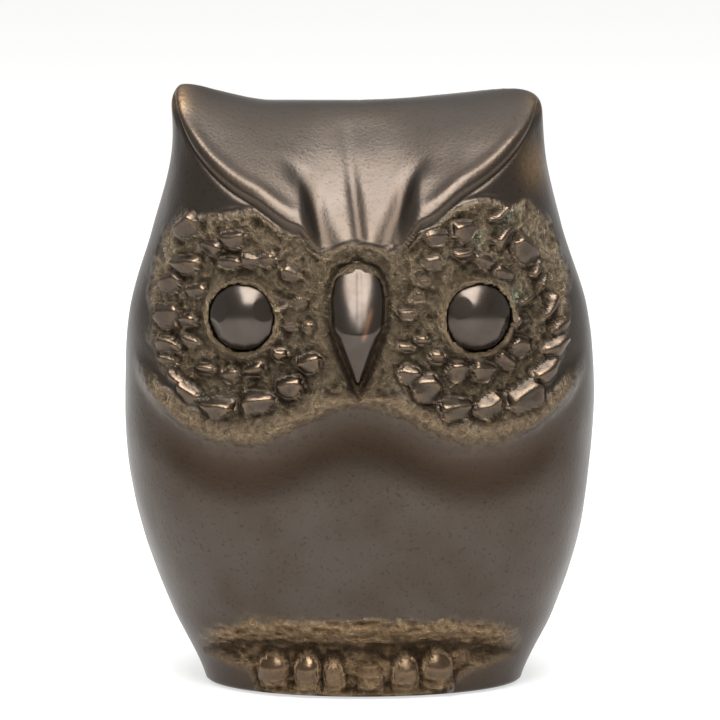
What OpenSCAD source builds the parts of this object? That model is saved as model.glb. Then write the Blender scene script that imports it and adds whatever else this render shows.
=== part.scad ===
// Owl figurine: a hollow bronze casting with set-in eyes and beak, plugged core-pin
// holes, a screwed base plate and a felt pad.
// Frame: millimetres, Z up, the owl faces -Y, origin under the middle of its foot.

/* [Body] */
// Height of the crown's top ridge
crown_z = 110.8; // [108:0.1:113]
// Height that the left ear tip stands above the crown's ridge
left_ear_rise = 4.9; // [2:0.1:6]
// Height that the right ear tip stands above the crown's ridge
right_ear_rise = 3.6; // [1:0.1:5]
// How far behind the middle the crown's ridge lies
ridge_y = 5; // [2:0.5:9]
// Steepness of the sloping crown above the beak
middle_slope = 1.08; // [1:0.01:1.2]
// Steepness of the sloping crown above the eyes
side_slope = 0.81; // [0.7:0.01:0.95]
// Thickness of the cast wall
wall = 5.5; // [4:0.1:7]
// Extra wall thickness just above the base plate, which makes its shelf
shelf = 3; // [2:0.1:4]

/* [Face] */
// Depth of the sunken ground of the face discs
disc_depth = 1.3; // [0.5:0.1:2]
// Depth of the hollow round the toes
toe_depth = 3; // [1:0.1:3.5]
// Height of the ridge that runs under the face discs
chest_ridge = 0.9; // [0.3:0.1:1.5]
// Distance from the middle to an eye's centre
eye_x = 22; // [20:0.1:23]
// Height of the eyes' centres
eye_z = 73.4; // [72:0.1:76]
// Radius of an eye
eye_r = 6.8; // [5:0.1:7]
// Height of an eye's dome above its rim
eye_dome = 3.9; // [2:0.1:4.5]
// Angle that each eye turns away from straight ahead
eye_turn = 20; // [5:1:25]
// Height of the beak's point
beak_tip_z = 60; // [58:0.1:62]
// Height of the beak's rounded upper end
beak_top_z = 84.3; // [82:0.1:86]
// Half the beak's width at its widest
beak_half_w = 5.1; // [4:0.1:5.5]
// How far in front of the middle the beak's crest stands
beak_front = 32.6; // [31:0.1:33]

/* [Base] */
// Height of the casting's rim above the surface it stands on
rim_z = 0.5; // [0.2:0.1:1]
// Thickness of the casting's rim round the base plate
rim_wall = 3; // [2:0.1:4]
// Thickness of the felt pad
felt_t = 1.5; // [1:0.1:2.5]
// Thickness of the base plate
plate_t = 3; // [2:0.1:4]
// Distance from the middle to each base screw
screw_x = 20; // [18:0.5:21]
// Shank radius of a base screw
screw_r = 2; // [1.5:0.1:2.5]
// Radius of a core-pin plug
plug_r = 2; // [1.5:0.1:3]

/* [Hidden] */

// The body's half sizes at equally spaced heights from the foot up.
station_step = 14.5;
left_w  = [29.2, 35.8, 41.1, 44.1, 44.6, 43.6, 39.3, 35.6, 35.9];
right_w = [30.6, 37.2, 41.7, 43.7, 44.5, 43.0, 38.4, 35.1, 34.2];
front_d = [19.5, 24.0, 28.5, 30.0, 29.0, 28.0, 28.5, 26.0, 24.0];
back_d  = [19.5, 25.0, 29.2, 31.4, 31.6, 30.0, 27.2, 22.0, 14.0];

columns = 76;          // points round each ring
front_crowding = 25;   // degrees that the points crowd towards the front
lower_rings = 20;      // rings from the rim up to the waist
upper_rings = 24;      // rings from the waist up to the crown
cavity_lower = 7;
cavity_upper = 9;
gap = 0.15;            // clearance between pieces that are set in
plate_top = felt_t + plate_t;
seat_depth = 1.6;      // depth of an eye's seat below the face
eye_face_y = -24.2;    // where an eye's axis meets the face
beak_seat_y = -25.4;   // flat floor of the beak's seat
spigot_r = 2.5;
spigot_len = 8;
bronze = [0.30, 0.26, 0.22];
bright_bronze = [0.45, 0.38, 0.28];
smooth_fn = 48;

function clamp01(t) = max(0, min(1, t));
function smooth(a, b, t) = let (u = clamp01((t - a) / (b - a))) u * u * (3 - 2 * u);
function bell(t) = exp(-t * t);

// Catmull-Rom curve through equally spaced values.
function spline(v, t) =
    let (i = max(0, min(len(v) - 2, floor(t))),
         f = max(0, min(1, t - i)),
         a = v[max(i - 1, 0)],
         b = v[i],
         c = v[i + 1],
         d = v[min(i + 2, len(v) - 1)])
    (2 * b + (c - a) * f + (2 * a - 5 * b + 4 * c - d) * f * f
     + (3 * b - a - 3 * c + d) * f * f * f) / 2;

// Polynomial smooth maximum with a blend width k.
function blend_max(a, b, k) =
    let (h = max(k - abs(a - b), 0) / k) max(a, b) + h * h * k / 4;

// Height of the ridge under the face discs: high in the middle and at the sides.
function chest_line(x) =
    let (s = abs(x))
    s < 22 ? 51.8 + 3.7 * (1 + cos(180 * s / 22)) : 51.8 + 6 * pow((s - 22) / 15, 2);

// Toes: their places along the foot.
toe_x = [-17.2, -10.2, -5.0, 1.6, 8.8, 14.7];
toe_w = [2.9, 2.0, 1.6, 2.1, 2.2, 2.6];
function toes(x, z) =
    max([for (i = [0 : len(toe_x) - 1])
        bell((x - toe_x[i]) / toe_w[i])]) * bell((z - 4) / 4.5);

// What stands proud of the smooth front, or is sunk into it.
function relief(x, z) =
    let (s = abs(x),
         q = pow((s - 23.3) / 17, 2) + pow((z - 74.5) / 21, 2),
         line = chest_line(x),
         foot = (1 - smooth(19, 28, s)) * (1 - smooth(9, 17, z)) * (0.3 + 0.7 * smooth(rim_z, 4, z)))
    - disc_depth * (1 - smooth(0.75, 1.1, q))
    + chest_ridge * bell((z - line + 1) / 3.2) * (1 - smooth(36, 43, s))
    - 0.8 * bell((z - line + 9) / 5) * (1 - smooth(34, 42, s))
    + foot * toe_depth * (toes(x, z) - 1);

// Radius of the plain body at an angle and height, before the crown cuts it.
function plain_r(angle, z) =
    let (c = cos(angle),
         s = sin(angle),
         t = z / station_step,
         n = 2 + 0.3 * smooth(5, 40, z),
         w = spline(c < 0 ? left_w : right_w, t),
         d = spline(s < 0 ? front_d : back_d, t))
    pow(pow(abs(c) / w, n) + pow(abs(s) / d, n), -1 / n);

// The same with the relief of the front.
function column_r(angle, z) =
    let (r = plain_r(angle, z)) r + smooth(0.1, 0.45, -sin(angle)) * relief(r * cos(angle), z);

// Height of the crown over a place in the plan. It falls forwards and backwards from
// its ridge, and the two round lengths set how softly each slope begins.
front_round = 14;
back_round = 30;
function ridge_height(x) =
    crown_z + (x < 0 ? left_ear_rise * pow(clamp01((-x - 17) / 17), 1.6)
                     : right_ear_rise * pow(clamp01((x + 2) / 36), 1.7));
function crown_height(x, y) =
    let (u = ridge_y - y,
         slope = middle_slope + (side_slope - middle_slope) * smooth(6, 18, abs(x)),
         fall = u > 0 ? slope * (norm([u, front_round]) - front_round)
                      : norm([u, back_round]) - back_round)
    ridge_height(x) - fall;

// Below zero inside the body, above zero outside it.
function form(p, inset) =
    let (angle = atan2(p.y, p.x),
         side = norm([p.x, p.y]) - column_r(angle, p.z) + inset,
         top = p.z - crown_height(p.x, p.y) + inset,
         k = 3.5 + 13 * smooth(-4, 18, p.y) + 1.5 * inset)
    blend_max(side, top, k);

// Distance along a ray from a point inside the body to the surface.
waist = [0, 0, 50];     // point that the upper rings fan out from
function reach(dir, inset, from = waist, near = 5, far = 90, steps = 18) =
    let (mid = (near + far) / 2)
    steps == 0 ? mid
    : form(from + mid * dir, inset) > 0
    ? reach(dir, inset, from, near, mid, steps - 1)
    : reach(dir, inset, from, mid, far, steps - 1);

function column_angle(i) =
    let (turn = 360 * i / columns - 180) turn - 90 - front_crowding * sin(turn);

function lower_ring(z, inset) =
    [for (i = [0 : columns - 1])
        let (a = column_angle(i), r = column_r(a, z) - inset)
        [r * cos(a), r * sin(a), z]];

function upper_ring(lift, inset) =
    [for (i = [0 : columns - 1])
        let (a = column_angle(i),
             dir = [cos(lift) * cos(a), cos(lift) * sin(a), sin(lift)])
        waist + reach(dir, inset) * dir];

function wall_at(z) = wall + shelf * (1 - smooth(plate_top, 15, z));

// Outline round the foot, set in from the casting's outer edge.
function foot_outline(inset) =
    [for (i = [0 : columns - 1])
        let (a = column_angle(i)) (plain_r(a, rim_z) - inset) * [cos(a), sin(a)]];
function at_height(outline, z) = [for (p = outline) [p.x, p.y, z]];

// Faces between neighbouring rings of points, and fans to a pole at each end.
function skin_faces(rings) =
    let (last = rings * columns)
    concat(
        [for (j = [0 : rings - 2], i = [0 : columns - 1])
            let (n = (i + 1) % columns)
            each [[j * columns + i, j * columns + n, (j + 1) * columns + n],
                  [j * columns + i, (j + 1) * columns + n, (j + 1) * columns + i]]],
        [for (i = [0 : columns - 1]) [last, (i + 1) % columns, i]],
        [for (i = [0 : columns - 1])
            let (base = (rings - 1) * columns)
            [last + 1, base + i, base + (i + 1) % columns]]);

// One closed skin: down the outside, round the rim and the plate's shelf, up the inside.
module shell() {
    outside = concat(
        [for (j = [1 : upper_rings]) upper_ring(90 - 90 * j / upper_rings, 0)],
        [for (j = [1 : lower_rings])
            lower_ring(waist.z + (rim_z - waist.z) * j / lower_rings, 0)]);
    rim = [at_height(foot_outline(rim_wall), rim_z),
           at_height(foot_outline(rim_wall), plate_top)];
    inside = concat(
        [for (j = [0 : cavity_lower])
            let (z = plate_top + (waist.z - plate_top) * j / cavity_lower)
            lower_ring(z, wall_at(z))],
        [for (j = [1 : cavity_upper - 1]) upper_ring(90 * j / cavity_upper, wall)]);
    rings = concat(outside, rim, inside);
    outer_pole = waist + reach([0, 0, 1], 0) * [0, 0, 1];
    inner_pole = waist + reach([0, 0, 1], wall) * [0, 0, 1];
    polyhedron(points = concat([for (ring = rings) each ring], [outer_pole, inner_pole]),
               faces = skin_faces(len(rings)), convexity = 8);
}

// Puts its children on a side's eye axis, with +Z pointing out of the face.
module on_eye(side) {
    translate([side * eye_x, eye_face_y, eye_z])
        rotate([90, 0, side * eye_turn])
            children();
}

// Puts its children on the beak's spigot axis, with +Z pointing forwards.
module on_beak() {
    translate([beak_x, beak_seat_y, 75])
        rotate([90, 0, 0])
            children();
}

// Half the beak's width and its crest's distance forward, a share t of the way down.
// It is broad and round above, and tapers to its point below a bend, where its front
// turns from a slope that faces up to a flat that faces down.
beak_x = -0.4;         // the beak stands a little left of the middle
beak_bend = 0.54;      // share of the length where the bend is
function beak_w(t) =
    beak_half_w * sqrt(max(0, 1 - pow(1 - min(1, t / 0.33), 2)))
    * (1 - pow(clamp01((t - 0.48) / 0.52), 1.1));
function beak_crest(t) =
    let (up = t / beak_bend, down = (t - beak_bend) / (1 - beak_bend),
         rise = t < beak_bend ? 0.06 + 0.4 * sin(90 * up) + 0.54 * up
                              : 1 - 0.62 * pow(down, 1.2))
    beak_seat_y - (beak_front + beak_seat_y) * rise;
beak_rings = 26;
beak_sides = 18;

function beak_z(t) = beak_top_z - (beak_top_z - beak_tip_z) * t;
function beak_share(j) = (1 - cos(180 * j / beak_rings)) / 2;

function beak_outline(grow) =
    let (right = [for (j = [0 : beak_rings])
            let (t = beak_share(j))
            [beak_w(t) + grow, beak_z(t) + grow * (1 - 2 * t)]])
    concat(right, [for (j = [beak_rings : -1 : 0]) [-right[j].x, right[j].y]]);

// The beak's domed front on a flat back, ring by ring from its top to its point.
module beak_shell() {
    rings = [for (j = [1 : beak_rings - 1])
        let (t = beak_share(j), w = beak_w(t), h = beak_seat_y - beak_crest(t))
        [for (i = [0 : beak_sides])
            let (a = 180 * i / beak_sides)
            [beak_x + w * cos(a), beak_seat_y - h * pow(sin(a), t < beak_bend ? 0.8 : 0.65),
             beak_z(t)]]];
    n = beak_sides + 1;
    m = len(rings);
    polyhedron(
        points = concat([for (ring = rings) each ring],
                        [[beak_x, beak_seat_y - 0.3, beak_top_z],
                         [beak_x, beak_seat_y - 0.3, beak_tip_z]]),
        faces = concat(
            [for (j = [0 : m - 2], i = [0 : n - 1])
                let (k = (i + 1) % n)
                each [[j * n + i, (j + 1) * n + i, (j + 1) * n + k],
                      [j * n + i, (j + 1) * n + k, j * n + k]]],
            [for (i = [0 : n - 1]) [m * n, i, (i + 1) % n]],
            [for (i = [0 : n - 1]) [m * n + 1, (m - 1) * n + (i + 1) % n, (m - 1) * n + i]]),
        convexity = 4);
}

// Each core pin's place: a point inside the body, the pin's direction from it to the
// surface, and the turn that brings +Z to that direction.
back_tilt = 12;        // the upper back pin follows the slope of the back
crown_pin = [[0, 7, 70], [0, 0, 1], [0, 0, 0]];
left_pin = [[0, 2, 52], [-1, 0, 0], [0, -90, 0]];
right_pin = [[0, 2, 52], [1, 0, 0], [0, 90, 0]];
upper_back_pin = [[0, 0, 78], [0, cos(back_tilt), sin(back_tilt)], [back_tilt - 90, 0, 0]];
lower_back_pin = [[0, 0, 46], [0, 1, 0], [-90, 0, 0]];

// A rod on a core pin's axis, from a depth below the surface to a height above it.
module pin_rod(pin, r, below, above) {
    end = reach(pin[1], 0, pin[0]);
    translate(pin[0]) rotate(pin[2])
        translate([0, 0, end - below]) cylinder(h = below + above, r = r, $fn = smooth_fn);
}
module plug(pin) { color(bronze) pin_rod(pin, plug_r - 0.02, wall + 2, -0.05); }
module plug_hole(pin) { pin_rod(pin, plug_r, wall + 6, 6); }

module screw_lug(side) {
    translate([side * screw_x, 0, plate_top]) cylinder(h = 9, r = 4.6, $fn = smooth_fn);
    translate([side * (screw_x + 5), 0, plate_top + 4.5]) cube([10, 6, 9], center = true);
}

module body_casting() color(bronze) {
    difference() {
        union() {
            shell();
            for (side = [-1, 1]) screw_lug(side);
        }
        for (side = [-1, 1]) {
            on_eye(side) translate([0, 0, -seat_depth]) cylinder(h = 12, r = eye_r + gap, $fn = smooth_fn);
            on_eye(side) translate([0, 0, -14]) cylinder(h = 14, r = spigot_r + gap / 2, $fn = smooth_fn);
            translate([side * screw_x, 0, plate_top - 1]) cylinder(h = 8.5, r = screw_r, $fn = smooth_fn);
        }
        translate([beak_x, beak_seat_y, 0]) rotate([90, 0, 0])
            linear_extrude(12) polygon(beak_outline(gap));
        on_beak() translate([0, 0, -12]) cylinder(h = 13, r = spigot_r + gap / 2, $fn = smooth_fn);
        for (pin = [crown_pin, left_pin, right_pin, upper_back_pin, lower_back_pin])
            plug_hole(pin);
    }
}

// Profile of an eye: a domed button on a round spigot.
module eye() {
    sphere_r = (eye_r * eye_r + eye_dome * eye_dome) / (2 * eye_dome);
    rotate_extrude($fn = smooth_fn)
        polygon(concat(
            [[0, -spigot_len], [spigot_r, -spigot_len], [spigot_r, -seat_depth],
             [eye_r, -seat_depth]],
            [for (j = [0 : 12])
                let (a = asin(eye_r / sphere_r) * (1 - j / 12))
                [sphere_r * sin(a), sphere_r * cos(a) - sphere_r + eye_dome]]));
}

module left_eye() color(bright_bronze) on_eye(-1) eye();
module right_eye() color(bright_bronze) on_eye(1) eye();

module beak() color(bright_bronze) {
    beak_shell();
    on_beak() translate([0, 0, -spigot_len]) cylinder(h = spigot_len + 1, r = spigot_r, $fn = smooth_fn);
}

module core_plug_crown() plug(crown_pin);
module core_plug_left() plug(left_pin);
module core_plug_right() plug(right_pin);
module core_plug_back_upper() plug(upper_back_pin);
module core_plug_back_lower() plug(lower_back_pin);

head_r = 3.8;
head_h = head_r - screw_r;

module base_plate() color([0.55, 0.45, 0.25]) {
    difference() {
        translate([0, 0, felt_t]) linear_extrude(plate_t) polygon(foot_outline(rim_wall + gap));
        for (side = [-1, 1]) translate([side * screw_x, 0, felt_t]) {
            translate([0, 0, -1]) cylinder(h = plate_t + 2, r = screw_r + gap, $fn = smooth_fn);
            cylinder(h = head_h, r1 = head_r + gap, r2 = screw_r + gap, $fn = smooth_fn);
        }
    }
}

module base_screw() {
    difference() {
        union() {
            cylinder(h = head_h, r1 = head_r, r2 = screw_r, $fn = smooth_fn);
            cylinder(h = plate_t + 7, r = screw_r - 0.03, $fn = smooth_fn);
        }
        cube([0.9, 10, 1.6], center = true);
    }
}
module base_screws() color([0.6, 0.5, 0.3])
    for (side = [-1, 1]) translate([side * screw_x, 0, felt_t]) base_screw();

module felt_pad() color([0.10, 0.16, 0.11])
    linear_extrude(felt_t) polygon(foot_outline(rim_wall + 2 * gap));

body_casting();
left_eye();
right_eye();
beak();
core_plug_crown();
core_plug_left();
core_plug_right();
core_plug_back_upper();
core_plug_back_lower();
base_plate();
base_screws();
felt_pad();
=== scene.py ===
"""Bronze owl figurine: the looks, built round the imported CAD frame.

Sizes are in millimetres inside the functions that shape a piece, and the pieces
are written out in metres. The owl faces -Y, +X is to the right of someone who
looks at its face, and it stands on z = 0.
"""

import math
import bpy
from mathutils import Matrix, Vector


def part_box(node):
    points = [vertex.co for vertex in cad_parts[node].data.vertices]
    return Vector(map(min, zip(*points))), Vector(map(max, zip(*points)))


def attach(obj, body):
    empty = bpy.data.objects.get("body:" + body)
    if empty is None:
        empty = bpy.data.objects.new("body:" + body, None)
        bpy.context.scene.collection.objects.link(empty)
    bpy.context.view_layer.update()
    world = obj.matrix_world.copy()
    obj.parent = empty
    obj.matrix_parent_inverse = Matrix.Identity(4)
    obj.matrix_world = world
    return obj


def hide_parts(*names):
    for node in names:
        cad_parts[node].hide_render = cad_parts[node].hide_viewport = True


bl_info = {
    "name": "Bronze Owl",
    "version": (1, 0, 0),
    "blender": (4, 5, 0),
    "location": "3D View > Sidebar > Owl",
    "description": "Models a cast bronze owl figurine round its CAD frame",
    "category": "Add Mesh",
}

import bmesh
import bpy
import numpy as np
from bpy.props import (
    FloatProperty,
    FloatVectorProperty,
    IntProperty,
    PointerProperty,
)
from mathutils import Matrix, Vector

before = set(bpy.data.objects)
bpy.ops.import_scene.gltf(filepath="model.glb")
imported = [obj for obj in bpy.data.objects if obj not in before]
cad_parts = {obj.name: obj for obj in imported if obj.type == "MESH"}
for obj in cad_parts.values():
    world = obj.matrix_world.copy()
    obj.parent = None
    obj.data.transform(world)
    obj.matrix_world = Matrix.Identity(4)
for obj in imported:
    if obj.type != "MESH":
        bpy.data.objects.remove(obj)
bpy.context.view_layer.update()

MM = 0.001
BODY = "root"
# A colour Mix node's sockets by their numbers: the share, the two colours, the result.
SHARE, FIRST, SECOND, MIXED = 0, 6, 7, 2
# The table and the white walls round it, in metres.
TABLE_HALF = (0.75, 2.6)
WALL_RADIUS = 2.5
WALL_TOP = 0.6

# ---------------------------------------------------------------- small helpers


def linear(code):
    """An sRGB hex colour as linear red, green, blue and full alpha."""
    channels = [int(code[i : i + 2], 16) / 255 for i in (1, 3, 5)]
    return [
        c / 12.92 if c <= 0.04045 else ((c + 0.055) / 1.055) ** 2.4 for c in channels
    ] + [1.0]


def smooth(a, b, t):
    """0 below a, 1 above b, and a smooth step between them."""
    u = np.clip((t - a) / (b - a), 0, 1)
    return u * u * (3 - 2 * u)


def bell(t):
    return np.exp(-t * t)


def spline(values, t):
    """Catmull-Rom curve through equally spaced values."""
    v = np.asarray(values)
    i = np.clip(np.floor(t).astype(int), 0, len(v) - 2)
    f = np.clip(t - i, 0, 1)
    a, b, c, d = v[np.maximum(i - 1, 0)], v[i], v[i + 1], v[np.minimum(i + 2, len(v) - 1)]
    return (
        2 * b
        + (c - a) * f
        + (2 * a - 5 * b + 4 * c - d) * f**2
        + (3 * b - a - 3 * c + d) * f**3
    ) / 2


def soft_max(a, b, k):
    h = np.maximum(k - np.abs(a - b), 0) / k
    return np.maximum(a, b) + h * h * k / 4


def grain(points, size, seed):
    """Smooth random values from -1 to 1 with lumps about one size across."""
    cells = 48
    table = np.random.default_rng(seed).uniform(-1, 1, (cells, cells, cells))
    q = points / size
    base = np.floor(q).astype(int)
    f = q - base
    f = f * f * (3 - 2 * f)
    total = np.zeros(points.shape[:-1])
    for corner in np.ndindex(2, 2, 2):
        c = np.array(corner)
        weight = np.prod(np.where(c == 1, f, 1 - f), axis=-1)
        i = (base + c) % cells
        total += weight * table[i[..., 0], i[..., 1], i[..., 2]]
    return total


# ------------------------------------------------------------------- the settings


class OwlForm(bpy.types.PropertyGroup):
    """Sizes of the casting's form."""

    crown_height: FloatProperty(
        name="Crown height",
        description="Height of the crown's top ridge",
        default=0.1108,
        unit="LENGTH",
    )
    left_ear: FloatProperty(
        name="Left ear",
        description="How far the left ear tip stands above the crown's ridge",
        default=0.0049,
        unit="LENGTH",
    )
    right_ear: FloatProperty(
        name="Right ear",
        description="How far the right ear tip stands above the crown's ridge",
        default=0.0036,
        unit="LENGTH",
    )
    ridge_back: FloatProperty(
        name="Ridge place",
        description="How far the crown's ridge lies behind the middle",
        default=0.005,
        unit="LENGTH",
    )
    middle_slope: FloatProperty(
        name="Middle slope",
        description="Steepness of the crown above the beak",
        default=1.08,
    )
    side_slope: FloatProperty(
        name="Side slope",
        description="Steepness of the crown above the eyes",
        default=0.81,
    )
    lip_height: FloatProperty(
        name="Brow lip",
        description="Height of the rolled lip along the brow",
        default=0.00045,
        unit="LENGTH",
    )
    disc_depth: FloatProperty(
        name="Disc depth",
        description="Depth of the sunken ground of the face discs",
        default=0.0013,
        unit="LENGTH",
    )
    toe_depth: FloatProperty(
        name="Toe depth",
        description="Depth of the hollow that the toes stand in",
        default=0.0028,
        unit="LENGTH",
    )
    eye_radius: FloatProperty(
        name="Eye radius",
        description="Radius of each set-in eye",
        default=0.0068,
        unit="LENGTH",
    )
    eye_dome: FloatProperty(
        name="Eye dome",
        description="Height of an eye's dome above its rim",
        default=0.0039,
        unit="LENGTH",
    )
    seed: IntProperty(
        name="Seed",
        description="Seed of the hammered and cast unevenness",
        default=7,
    )


class OwlFinish(bpy.types.PropertyGroup):
    """Colours and gloss of the finishes."""

    patina: FloatVectorProperty(
        name="Patina",
        description="Dark brown waxed patina on the smooth faces",
        subtype="COLOR",
        size=4,
        min=0,
        max=1,
        default=linear("#4A433D"),
    )
    # Also laid under the chest ridge, where it is partly painted shade.
    patina_deep: FloatVectorProperty(
        name="Deep patina",
        description="The browner, darker patina under the chest ridge",
        subtype="COLOR",
        size=4,
        min=0,
        max=1,
        default=linear("#3A2C20"),
    )
    ground: FloatVectorProperty(
        name="Ground",
        description="Tan metal that shows through on the rough ground",
        subtype="COLOR",
        size=4,
        min=0,
        max=1,
        default=linear("#7E705B"),
    )
    # Dark patina in the hollows, also used as painted shade in the crevices and over the toes.
    recess: FloatVectorProperty(
        name="Recess",
        description="Dark dirt and patina held in the hollows",
        subtype="COLOR",
        size=4,
        min=0,
        max=1,
        default=linear("#2C2219"),
    )
    bare: FloatVectorProperty(
        name="Bare metal",
        description="Brassy metal where the patina is rubbed away",
        subtype="COLOR",
        size=4,
        min=0,
        max=1,
        default=linear("#B8946A"),
    )
    copper: FloatVectorProperty(
        name="Copper",
        description="Reddish bare bronze on the beak's rubbed line",
        subtype="COLOR",
        size=4,
        min=0,
        max=1,
        default=linear("#B4825F"),
    )
    verdigris: FloatVectorProperty(
        name="Verdigris",
        description="Pale green copper salts in the deepest hollows",
        subtype="COLOR",
        size=4,
        min=0,
        max=1,
        default=linear("#8FA08A"),
    )
    gloss: FloatProperty(
        name="Smooth roughness",
        description="Roughness of the waxed smooth faces",
        default=0.36,
        subtype="FACTOR",
        min=0,
        max=1,
    )
    wax: FloatProperty(
        name="Wax",
        description="Weight of the clear wax over the patina",
        default=0.12,
        subtype="FACTOR",
        min=0,
        max=1,
    )
    felt: FloatVectorProperty(
        name="Felt",
        description="Wool felt under the base",
        subtype="COLOR",
        size=4,
        min=0,
        max=1,
        default=linear("#24342A"),
    )


class OwlStage(bpy.types.PropertyGroup):
    """Camera and light."""

    distance: FloatProperty(
        name="Camera distance",
        description="Distance from the camera to the owl's middle",
        default=1.2,
        unit="LENGTH",
    )
    elevation: FloatProperty(
        name="Camera elevation",
        description="Angle that the camera looks down",
        default=math.radians(8.5),
        subtype="ANGLE",
        unit="ROTATION",
    )
    view_width: FloatProperty(
        name="View width",
        description="Width of the picture at the owl's middle",
        default=0.1368,
        unit="LENGTH",
    )
    aim_height: FloatProperty(
        name="Aim height",
        description="Height of the point that the camera looks at",
        default=0.0618,
        unit="LENGTH",
    )
    softbox_power: FloatProperty(
        name="Softbox",
        description="Power of the overhead softbox",
        default=21.0,
        unit="POWER",
    )
    ceiling_power: FloatProperty(
        name="Ceiling",
        description="Power of the light that the ceiling throws back",
        default=5.2,
        unit="POWER",
    )
    room: FloatProperty(
        name="Room",
        description="Brightness of the unlit room round the table",
        default=0.5,
    )


class OwlSettings(bpy.types.PropertyGroup):
    """All the owl's settings."""

    form: PointerProperty(type=OwlForm)
    finish: PointerProperty(type=OwlFinish)
    stage: PointerProperty(type=OwlStage)


# ---------------------------------------------------------------- the body's form

STATION_STEP = 14.5
LEFT_WIDTH = [29.2, 35.8, 41.1, 44.1, 44.6, 43.6, 39.3, 35.6, 35.9]
RIGHT_WIDTH = [30.6, 37.2, 41.7, 43.7, 44.5, 43.0, 38.4, 35.1, 34.2]
FRONT_DEPTH = [19.5, 24.0, 28.5, 30.0, 29.0, 28.0, 28.5, 26.0, 24.0]
BACK_DEPTH = [19.5, 25.0, 29.2, 31.4, 31.6, 30.0, 27.2, 22.0, 14.0]
WALL = 5.5
SHELF = 3.0
RIM_Z = 0.5
RIM_WALL = 3.0
PLATE_TOP = 4.5
FAN_Z = 84.0
EYES = {"left_eye": (-22.0, -24.2, 73.4), "right_eye": (22.0, -24.2, 73.4)}
EYE_TURN = math.radians(20)
SEAT_DEPTH = 1.6
BEAK_X = -0.4
BEAK_SEAT_Y = -25.4
BEAK_FRONT = 32.6
BEAK_TOP = 84.3
BEAK_TIP = 60.0
BEAK_HALF = 5.1
BEAK_BEND = 0.54
SPIGOT_R = 2.5
SPIGOT_LENGTH = 8
DOME_STEPS = 28

# Core pins: a point inside the body and the direction from it to the surface.
BACK_TILT = math.radians(12)
PLUGS = {
    "core_plug_crown": ((0, 7, 70), (0, 0, 1)),
    "core_plug_left": ((0, 2, 52), (-1, 0, 0)),
    "core_plug_right": ((0, 2, 52), (1, 0, 0)),
    "core_plug_back_upper": ((0, 0, 78), (0, math.cos(BACK_TILT), math.sin(BACK_TILT))),
    "core_plug_back_lower": ((0, 0, 46), (0, 1, 0)),
}
PLUG_R = 1.98
PLUG_LENGTH = 7.4
SCREW_X = 20.0

# Lumps of the face discs: x, z, half width, half height, turn in degrees, height.
LEFT_LUMPS = [
    (-32.5, 89.5, 3.0, 2.1, 30, 1.8),
    (-28, 86.5, 2.5, 1.7, -15, 1.7),
    (-24, 88.5, 2.7, 1.9, 5, 2.0),
    (-33, 83, 3.3, 2.1, 5, 2.0),
    (-36, 79, 2.5, 2.1, 10, 1.7),
    (-36.5, 73, 2.6, 2.3, 5, 1.6),
    (-36, 67.5, 3.2, 1.5, -8, 1.5),
    (-36, 64.5, 2.9, 1.1, -15, 1.1),
    (-34.5, 61.5, 4.2, 1.1, -32, 1.4),
    (-32, 59, 2.6, 1.7, -30, 1.8),
    (-26.5, 57, 3.5, 2.1, -3, 2.2),
    (-19, 58, 3.3, 2.3, 8, 2.4),
    (-13.5, 61, 2.5, 2.1, 12, 2.2),
    (-10, 65.5, 2.3, 2.1, 15, 2.1),
    (-9.5, 72, 1.1, 1.3, 0, 1.2),
    (-13, 72, 1.2, 1.1, 10, 1.0),
    (-24.5, 83.5, 2.5, 1.5, 0, 1.3),
    (-20.5, 84.5, 1.6, 1.7, 0, 1.4),
    (-17.5, 84.5, 1.8, 1.7, 10, 1.4),
    (-13, 82, 1.9, 1.5, -20, 1.2),
    (-31, 78, 2.7, 1.5, 15, 1.3),
    (-32.5, 72.5, 2.0, 1.5, 10, 1.5),
    (-32, 68.5, 2.4, 1.3, -20, 1.2),
    (-29, 64, 2.1, 1.3, -5, 1.5),
    (-24.5, 63, 2.0, 1.7, 10, 1.4),
    (-19.5, 64, 2.1, 1.5, 10, 1.9),
    (-15, 67, 1.5, 1.5, 0, 1.8),
    (-11.5, 76.5, 1.5, 1.3, 30, 0.9),
    (-14.5, 76, 1.2, 1.1, 0, 0.8),
]
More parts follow.
